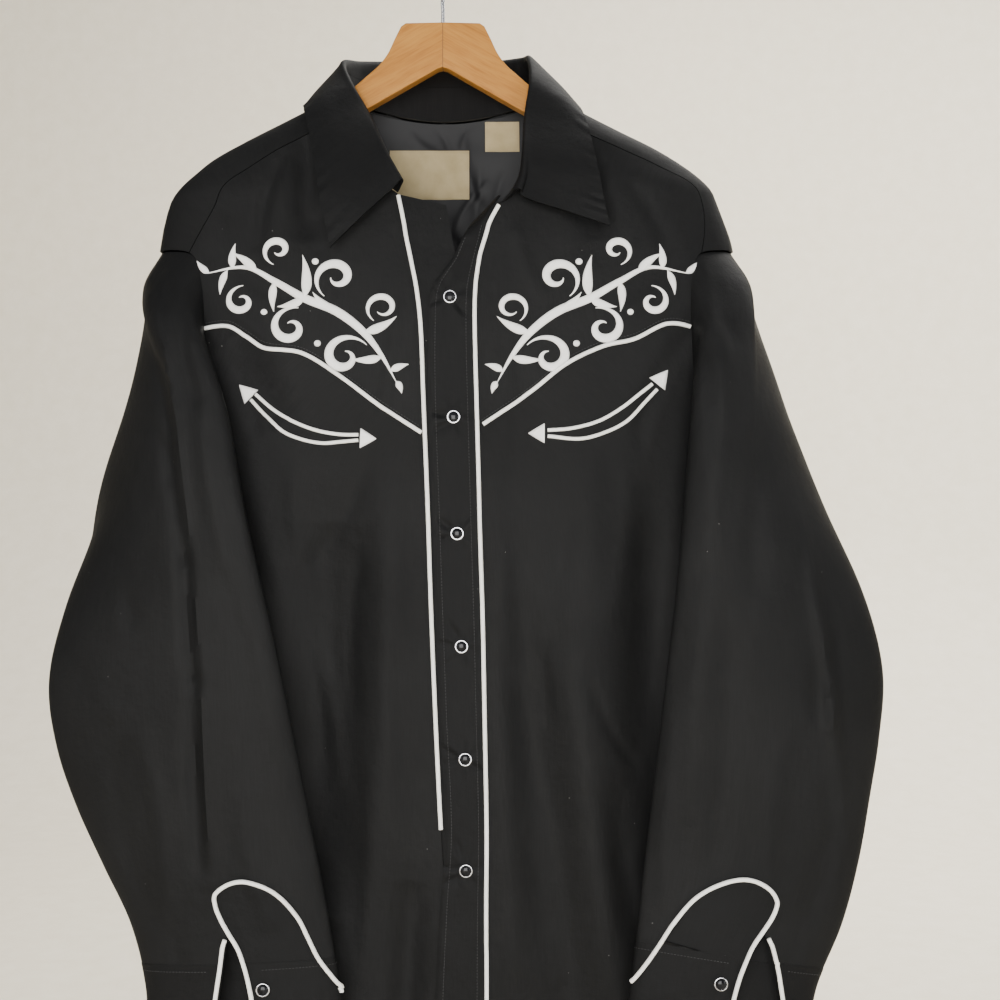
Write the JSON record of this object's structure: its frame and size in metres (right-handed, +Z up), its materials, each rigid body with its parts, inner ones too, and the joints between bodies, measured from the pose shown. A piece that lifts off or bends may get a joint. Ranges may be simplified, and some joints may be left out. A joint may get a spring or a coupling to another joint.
{
  "type": "western snap shirt on a wooden hanger",
  "caption": "Black long-sleeved western snap shirt with white piped yokes, placket, smile pockets and shaped cuffs, hanging on a plain wooden hanger by its wire hook.",
  "frame": {"origin": "inside top of the hanger's wire hook, where a rail or peg carries it", "axes": "+Z up, along the hanger's shank; the shirt's front faces -Y; +X is the wearer's left (the viewer's right)"},
  "size_m": [0.6759, 0.1581, 0.9432],
  "materials": {
    "cloth": "matte twill with a slight sheen",
    "piping": "matte",
    "satin": "satin",
    "label": "woven, matte",
    "wood": "clear lacquer",
    "wire": "polished",
    "pearl": "gloss"
  },
  "bodies": {
    "root": {"hanger": "wood", "hook": "wire", "front_yoke_right": "cloth", "front_panel_right": "cloth", "front_yoke_left": "cloth", "front_panel_left": "cloth", "under_placket": "cloth", "placket": "cloth", "back_yoke": "cloth", "back_body": "cloth", "collar_stand": "cloth", "collar_fall": "cloth", "sleeve_right": "cloth", "cuff_right": "cloth", "sleeve_left": "cloth", "cuff_left": "cloth", "cuff_arch_right": "cloth", "piping_yoke_right": "piping", "piping_placket_right": "piping", "piping_arch_right": "piping", "piping_slit_right": "piping", "cuff_arch_left": "cloth", "piping_yoke_left": "piping", "piping_placket_left": "piping", "piping_arch_left": "piping", "piping_slit_left": "piping", "smile_upper_right": "piping", "smile_lower_right": "piping", "arrow_side_right": "piping", "arrow_centre_right": "piping", "smile_upper_left": "piping", "smile_lower_left": "piping", "arrow_side_left": "piping", "arrow_centre_left": "piping", "yoke_lining": "satin", "label_main": "label", "label_care": "label", "snap_rim_front_1": "wire", "snap_pearl_front_1": "pearl", "snap_rim_front_2": "wire", "snap_pearl_front_2": "pearl", "snap_rim_front_3": "wire", "snap_pearl_front_3": "pearl", "snap_rim_front_4": "wire", "snap_pearl_front_4": "pearl", "snap_rim_front_5": "wire", "snap_pearl_front_5": "pearl", "snap_rim_front_6": "wire", "snap_pearl_front_6": "pearl", "snap_rim_cuff_right": "wire", "snap_pearl_cuff_right": "pearl", "snap_rim_cuff_left": "wire", "snap_pearl_cuff_left": "pearl"}
  },
  "joints": []
}
